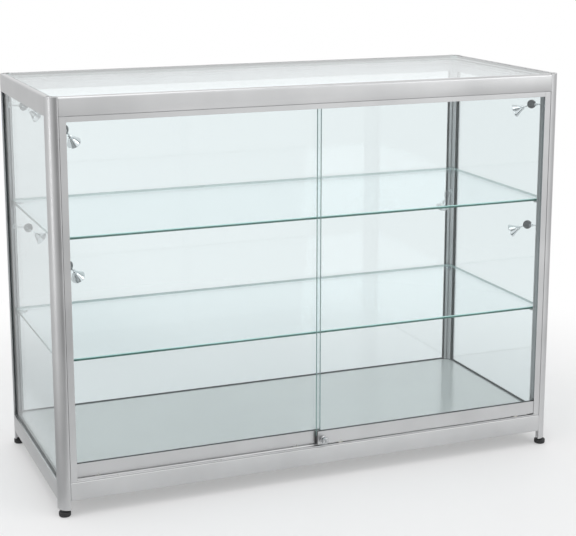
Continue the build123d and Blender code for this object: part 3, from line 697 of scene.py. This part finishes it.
ARM = [(4.0, 0), (4.0, 1.6), (20.6, 1.6), (20.8, 3.4), (21.4, 4.6), (22.4, 5.0), (23.0, 5.0),
       (23.2, 4.5), (24.0, 4.5), (24.2, 5.0), (25.0, 5.0), (25.2, 4.5), (26.0, 4.5)]
SHADE = [(26.0, 4.4), (26.0, 5.2), (26.4, 5.8), (30.0, 7.7), (34.5, 10.3), (39.0, 12.8),
         (42.6, 14.8), (43.2, 15.4), (43.8, 15.4), (44.0, 15.0), (43.8, 14.5), (43.0, 14.1)]
REFLECTOR = [(43.0, 14.1), (38.5, 11.6), (34.0, 9.1), (30.0, 6.9), (27.3, 5.1), (27.2, 0)]
CAPSULE = [(27.1, 0), (27.1, 2.9), (28.4, 2.9), (28.4, 3.6), (29.2, 4.0), (34.6, 4.0), (36.8, 3.1),
           (37.9, 1.6), (38.2, 0)]

brackets = bmesh.new()
discs = bmesh.new()
for level in LEVELS:
    for corner in CORNERS:
        spot = f"light_{level}_{corner}"
        joint = joint_named(spot + "_tilt")
        pin = Vector(joint["axis"]).normalized()
        out = pin.cross(Vector((0, 0, 1))).normalized()
        seat = Matrix((
            (out.x, pin.x, 0, 0), (out.y, pin.y, 0, 0), (out.z, pin.z, 1, 0), (0, 0, 0, 1),
        ))
        knuckle = Matrix.Translation(Vector(joint["pos_m"])) @ seat
        slot_face = knuckle @ Matrix.Translation((-REACH * MM, 0, 0))
        bar(brackets, *SLOT_FOOT, slot_face)
        bar(brackets, *SLOT_NECK, slot_face)
        turned(brackets, ROSETTE, slot_face @ along("x"))
        turned(brackets, STEM, slot_face @ along("x"), ROD_STEPS)
        bar(brackets, *FORK, slot_face, FORK_EASING)
        turned(discs, NEAR_DISC, knuckle @ along("y"))
        turned(brackets, PIN, knuckle @ along("y"), PIN_STEPS)

        tilt = TILT_RANGE_TOP - joint["range_deg"][1]
        head = knuckle @ Matrix.Rotation(math.radians(tilt), 4, "Y")
        beam = head @ along("x", BEAM_OFFSET)
        shade = bmesh.new()
        turned(shade, ARM, beam, ROD_STEPS)
        turned(shade, SHADE, beam, SHADE_STEPS)
        turned(shade, REFLECTOR, beam, FACETS, finish=1)
        piece(f"spot_shade_{level}_{corner}", shade, [BRIGHT, MIRROR], spot, "polished_chrome",
              spot)
        disc = bmesh.new()
        turned(disc, FAR_DISC, head @ along("y"), closed=True)
        bmesh.ops.recalc_face_normals(disc, faces=disc.faces)
        piece(f"spot_disc_{level}_{corner}", disc, [KNUCKLE_DARK], spot, "black_plastic")
        lamp = bmesh.new()
        turned(lamp, CAPSULE, beam, LAMP_STEPS)
        piece(f"spot_lamp_{level}_{corner}", lamp, [LAMP], spot, "polished_chrome")
bmesh.ops.recalc_face_normals(discs, faces=discs.faces)
piece("spot_brackets", brackets, [BRIGHT], "case", "polished_chrome", "light_brackets")
piece("spot_bracket_discs", discs, [KNUCKLE_DARK], "case", "black_plastic")

# ---------------------------------------------------------------------------------------------
# Sliding doors. A pane in an aluminium shoe, wedged with black seal, its ends closed by moulded
# black caps. The right-hand door runs in the front lane and the left-hand one behind it.
# ---------------------------------------------------------------------------------------------
SHOE_EDGE = 0.2 * MM
CAP_EDGE = 0.4 * MM
AXLE_EDGE = 0.1 * MM
CAP_TONES = ((0.018, 0.018, 0.019, 1.0), (0.032, 0.032, 0.034, 1.0))
BLACK = moulded_plastic("black_moulded_plastic", *CAP_TONES)
for side in ("right", "left"):
    door = "door_" + side
    piece("door_pane_" + side, pane_of("door_glass_" + side, ARRIS), [FLOAT, GROUND_EDGE], door,
          "clear_glass", "door_glass_" + side)
    piece("extruded_door_shoe_" + side, eased("door_shoe_" + side, SHOE_EDGE), [ALUMINIUM[0]],
          door, "anodised_aluminium", "door_shoe_" + side)
    piece("shoe_wedge_seal_" + side, eased("shoe_seal_" + side, SEAL_EDGE), [SEAL], door,
          "black_seal", "shoe_seal_" + side)
    piece("shoe_end_caps_" + side, eased("shoe_caps_" + side, CAP_EDGE), [BLACK], door,
          "black_plastic", "shoe_caps_" + side)
    piece("shoe_axles_" + side, eased("roller_axles_" + side, AXLE_EDGE), [STEEL], door,
          "plated_steel", "roller_axles_" + side)

# ---------------------------------------------------------------------------------------------
# Rollers. White nylon wheels on steel axles inside the shoes, two to a door, with a shallow
# groove round the tread and a thin web between rim and hub.
# ---------------------------------------------------------------------------------------------
ROLLER_STEPS = 48
NYLON_TONES = ((0.74, 0.73, 0.68, 1.0), (0.84, 0.83, 0.79, 1.0))
ROLLER = [(-2.3, 1.55), (-2.3, 3.2), (-1.5, 3.5), (-1.5, 6.4), (-2.3, 6.8), (-2.3, 7.7),
          (-2.0, 8.0), (-0.8, 8.0), (-0.5, 7.7), (0.5, 7.7), (0.8, 8.0), (2.0, 8.0), (2.3, 7.7),
          (2.3, 6.8), (1.5, 6.4), (1.5, 3.5), (2.3, 3.2), (2.3, 1.55)]


def nylon(name):
    """White moulded nylon."""
    finish, tree = new_finish(name)
    flow = grain(tree, 400.0, 3.0)
    show(tree, add(
        tree, "BsdfPrincipled", Base_Color=toned(tree, flow, *NYLON_TONES),
        Roughness=spread(tree, flow, 0.36, 0.5), IOR=1.5, Subsurface_Weight=0.15,
        Subsurface_Scale=0.002,
    ))
    return finish


NYLON = nylon("white_nylon")
for side in ("right", "left"):
    for number in (1, 2):
        roller = f"roller_{side}_{number}"
        axle = Vector(joint_named(roller + "_roll")["pos_m"])
        work = bmesh.new()
        turned(work, ROLLER, Matrix.Translation(axle) @ along("y"), ROLLER_STEPS, closed=True)
        bmesh.ops.recalc_face_normals(work, faces=work.faces)
        piece(f"nylon_wheel_{side}_{number}", work, [NYLON], roller, "nylon", roller)

# ---------------------------------------------------------------------------------------------
# Push lock. A chromed housing on the right-hand door's shoe, a sprung push button that drives a
# pin behind the rear door's shoe, and a key plug in the button's face.
# ---------------------------------------------------------------------------------------------
LOCK_STEPS = 64
PLUG_EDGE = 0.12 * MM
HOUSING = [(0, 3.6), (0, 9.6), (0.4, 10.0), (8.6, 10.0), (8.9, 9.6), (9.3, 9.6), (9.6, 9.9),
           (10.3, 9.9), (11.0, 9.2), (11.0, 7.9), (10.7, 7.6), (1.2, 7.6), (1.2, 3.6)]
LOCK_CHROME = chrome("lock_chrome", (0.56, 0.57, 0.58, 1.0), 0.06)
low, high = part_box("lock_housing")
lock = (Matrix.Translation(((low.x + high.x) / 2, high.y, (low.z + high.z) / 2))
        @ Matrix.Rotation(math.pi / 2, 4, "X"))
work = bmesh.new()
turned(work, HOUSING, lock, LOCK_STEPS, closed=True)
bmesh.ops.recalc_face_normals(work, faces=work.faces)
piece("lock_barrel_housing", work, [LOCK_CHROME], "door_right", "polished_chrome", "lock_housing")

rear = (high.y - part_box("lock_button")[1].y) / MM
front = (high.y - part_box("lock_button")[0].y) / MM
BUTTON = [(rear, 0), (rear, 3.2), (rear + 0.3, 3.5), (7.5, 3.5), (7.5, 7.2), (7.8, 7.5),
          (front - 0.9, 7.5), (front - 0.3, 7.3), (front, 6.8), (front, 5.9), (front - 0.3, 5.6),
          (front - 0.3, 5.05), (front - 8.0, 5.05), (front - 8.0, 0)]
work = bmesh.new()
turned(work, BUTTON, lock, LOCK_STEPS)
bmesh.ops.recalc_face_normals(work, faces=work.faces)
piece("lock_push_button", work, [LOCK_CHROME], "lock_button", "polished_chrome", "lock_button")
piece("lock_key_plug", eased("lock_plug", PLUG_EDGE), [LOCK_CHROME], "lock_plug",
      "polished_chrome", "lock_plug")

# ---------------------------------------------------------------------------------------------
# Levelling feet. A fluted hard rubber pad moulded round a threaded steel stud that screws up
# into the core of each post.
# ---------------------------------------------------------------------------------------------
FLUTES = 24
FLUTE_STEPS = 6            # steps round the pad to each flute
FLUTE_DEPTH = 0.45
PAD_RADIUS = 13.0
PAD = [(0, 0), (0, 9.2), (0.25, 10.4), (1.0, 11.8), (2.2, 12.7), (3.5, PAD_RADIUS),
       (3.9, PAD_RADIUS), (9.3, PAD_RADIUS), (9.8, 12.9), (10.6, 12.3), (11.0, 11.4),
       (11.0, 7.6), (11.4, 7.1), (14.4, 7.0), (14.7, 6.7), (14.7, 3.3)]
FLUTED = (3.8, 9.4)        # the flutes are cut between these heights
THREAD_PITCH = 1.0
THREAD_ROOT = 2.85
THREAD_CREST = 3.3
THREAD_LOW = 14.4          # height of the lowest ring
THREAD_STEPS = 32
RUBBER_PAD = rubber("hard_black_rubber", (0.012, 0.012, 0.013, 1.0), (0.024, 0.024, 0.026, 1.0),
                    0.5, 900.0)
for corner in CORNERS:
    foot = "foot_" + corner
    low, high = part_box(foot)
    place = Matrix.Translation(((low.x + high.x) / 2, (low.y + high.y) / 2, low.z))
    work = bmesh.new()
    turned(work, PAD, place, FLUTE_STEPS * FLUTES)
    for vertex in work.verts:
        spot = place.inverted() @ vertex.co / MM
        if FLUTED[0] < spot.z < FLUTED[1]:
            turn = math.atan2(spot.y, spot.x)
            cut = FLUTE_DEPTH * max(0.0, math.cos(FLUTES * turn)) ** 0.5
            spot.xy *= (PAD_RADIUS - cut) / PAD_RADIUS
            vertex.co = place @ (spot * MM)
    bmesh.ops.recalc_face_normals(work, faces=work.faces)
    piece("rubber_" + foot, work, [RUBBER_PAD], foot, "foot_rubber", foot)
    top = (high.z - low.z) / MM
    thread = [(14.0, 0), (14.0, 2.9)]
    height = THREAD_LOW
    while height < top - 1.5 * THREAD_PITCH:
        thread += [(height, THREAD_ROOT), (height + THREAD_PITCH / 2, THREAD_CREST)]
        height += THREAD_PITCH
    thread += [(top - 0.6, THREAD_ROOT), (top, 2.3), (top, 0)]
    work = bmesh.new()
    turned(work, thread, place, THREAD_STEPS)
    bmesh.ops.recalc_face_normals(work, faces=work.faces)
    piece("stud_" + foot, work, [STEEL], foot, "plated_steel")

# ---------------------------------------------------------------------------------------------
# Studio. A wide pale translucent floor, lit from below and fading to white, soft lights overhead,
# in front and at the left, one of them a low strip, and a white room whose cards and flags show
# in metal and glass.
# ---------------------------------------------------------------------------------------------
FLOOR_RADIUS = 60.0
FLOOR_SIDES = 96
WHITE = (1.0, 1.0, 1.0, 1.0)
UNLIT = (0.0, 0.0, 0.0, 1.0)
WHITE_FADE = (0.75, 1.6)   # how far out the seen floor turns from pale grey to white
CARD_FADE = (0.9, 1.7)     # how far out the cards begin that only show in reflections
LEFT_FLAG = (-0.72, -0.61)  # where a dark flag lies left of the case, seen in reflections only
FLAG_SHARE = 0.55          # light that the flag leaves
ROOM_LIGHT = 0.87
CEILING_LIGHT = 1.1
CEILING_FADE = (0.3, 0.75)  # how steep a look up turns from the walls to the ceiling
LIT_FROM_BELOW = 0.3       # the translucent floor's own light, which softens the shadows
# Cards and flags round the room: share of a half turn from straight in front, to the right when
# positive, and brightness
CARDS = [(-1.0, 1.2), (-0.955, 0.95), (-0.86, 0.85), (-0.7, 0.88), (-0.42, 0.98), (-0.28, 0.8),
         (-0.13, 0.25), (-0.05, 0.3), (0.03, 1.25), (0.12, 1.2), (0.2, 1.05), (0.32, 1.02),
         (0.5, 0.75), (0.66, 0.95), (0.8, 1.25), (1.0, 1.2)]


def card_brightness(tree, direction):
    """Brightness of the room's cards and flags in a direction, and the direction's height."""
    parts = add(tree, "SeparateXYZ", direction)
    ahead = add(tree, "Math", parts.outputs["Y"], -1.0, operation="MULTIPLY").outputs[0]
    bearing = add(tree, "Math", parts.outputs["X"], ahead, operation="ARCTAN2").outputs[0]
    share = add(tree, "MapRange", bearing, -math.pi, math.pi, 0.0, 1.0).outputs[0]
    cards = add(tree, "ValToRGB", share)
    cards.color_ramp.interpolation = "EASE"
    stops = cards.color_ramp.elements
    for number, (turn, brightness) in enumerate(CARDS):
        if number == 0:
            stop = stops[0]
        elif number == len(CARDS) - 1:
            stop = stops[-1]
        else:
            stop = stops.new((turn + 1) / 2)
        stop.position = (turn + 1) / 2
        stop.color = (brightness, brightness, brightness, 1.0)
    return cards.outputs[0], parts.outputs["Z"]


work = bmesh.new()
bmesh.ops.create_circle(work, cap_ends=True, segments=FLOOR_SIDES, radius=FLOOR_RADIUS)
mesh = bpy.data.meshes.new("studio_floor")
work.to_mesh(mesh)
work.free()
finish, tree = new_finish("pale_floor")
place = add(tree, "TexCoord").outputs["Object"]
distance = add(tree, "VectorMath", place, operation="LENGTH").outputs["Value"]
fades = [
    add(tree, "MapRange", distance, *reach, 0.0, 1.0, interpolation_type="SMOOTHSTEP").outputs[0]
    for reach in (WHITE_FADE, CARD_FADE)
]
mottle = toned(tree, grain(tree, 1.3, 3.0), (0.5, 0.5, 0.503, 1.0), (0.52, 0.52, 0.523, 1.0))
matt = add(
    tree, "BsdfPrincipled", Base_Color=mottle, Roughness=0.6, Specular_IOR_Level=0.15,
    Emission_Color=WHITE, Emission_Strength=LIT_FROM_BELOW,
)
white = add(tree, "Emission", Color=WHITE, Strength=1.0)
cards = add(tree, "Emission", Color=card_brightness(tree, place)[0], Strength=ROOM_LIGHT)
seen = add(tree, "MixShader", fades[0], matt.outputs[0], white.outputs[0])
mirrored = add(tree, "MixShader", fades[1], matt.outputs[0], cards.outputs[0])
across = add(tree, "SeparateXYZ", place).outputs["X"]
beside = add(tree, "MapRange", across, *LEFT_FLAG, FLAG_SHARE, 1.0).outputs[0]
none = add(tree, "Emission", Color=UNLIT, Strength=0.0)
flagged = add(tree, "MixShader", beside, none.outputs[0], matt.outputs[0])
tree.links.new(flagged.outputs[0], mirrored.inputs[1])
straight = add(tree, "LightPath").outputs["Is Camera Ray"]
show(tree, add(tree, "MixShader", straight, mirrored.outputs[0], seen.outputs[0]))
mesh.materials.append(finish)
floor = bpy.data.objects.new("studio_floor", mesh)
bpy.context.scene.collection.objects.link(floor)
floor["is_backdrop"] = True

world = bpy.data.worlds.new("white_room")
bpy.context.scene.world = world
world.use_nodes = True
room = world.node_tree
room.nodes.clear()
walls, height = card_brightness(room, add(room, "TexCoord").outputs["Generated"])
overhead = add(room, "MapRange", height, *CEILING_FADE, 0.0, 1.0,
               interpolation_type="SMOOTHSTEP").outputs[0]
mixed = add(room, "Mix", data_type="RGBA")
room.links.new(overhead, mixed.inputs[0])
room.links.new(walls, mixed.inputs[6])
mixed.inputs[7].default_value = (CEILING_LIGHT, CEILING_LIGHT, CEILING_LIGHT, 1.0)
lit = add(room, "Background", Color=mixed.outputs[2], Strength=ROOM_LIGHT)
seen = add(room, "Background", Color=WHITE, Strength=1.0)
straight = add(room, "LightPath").outputs["Is Camera Ray"]
mix = add(room, "MixShader", straight, lit.outputs[0], seen.outputs[0])
add(room, "OutputWorld", Surface=mix.outputs[0])


def softbox(name, spot, aim, width, height, power):
    """A rectangular soft light that faces a point."""
    lamp = bpy.data.lights.new(name, "AREA")
    lamp.shape = "RECTANGLE"
    lamp.size = width
    lamp.size_y = height
    lamp.energy = power
    made = bpy.data.objects.new(name, lamp)
    made.location = spot
    made.rotation_mode = "QUATERNION"
    made.rotation_quaternion = (Vector(aim) - Vector(spot)).to_track_quat("-Z", "Y")
    made.visible_camera = False
    bpy.context.scene.collection.objects.link(made)


softbox("overhead_softbox", (-0.6, -0.9, 3.4), (0.0, 0.0, 0.3), 3.2, 2.6, 34.0)
softbox("side_softbox", (-3.4, 0.9, 1.9), (0.0, 0.0, 0.5), 1.6, 2.2, 8.0)
softbox("strip_softbox", (-3.6, -0.76, 0.23), (-0.6, -0.25, 0.23), 0.6, 0.42, 4.2)
softbox("front_softbox", (2.6, -3.2, 1.8), (0.0, 0.0, 0.4), 2.0, 1.6, 20.0)

camera_data = bpy.data.cameras.new("camera")
camera_data.lens = 90.1
camera_data.shift_y = -0.08
camera_data.clip_start = 0.1
camera_data.clip_end = 200.0
camera = bpy.data.objects.new("camera", camera_data)
camera.location = (-1.222, -3.091, 1.258)
camera.rotation_euler = (math.radians(90 - 12.04), 0.0, math.radians(-21.93))
bpy.context.scene.collection.objects.link(camera)
bpy.context.scene.camera = camera

bpy.context.scene.view_settings.view_transform = "Standard"
cycles = bpy.context.scene.cycles
cycles.max_bounces = 14
cycles.glossy_bounces = 6
cycles.transparent_max_bounces = 48

low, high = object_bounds()
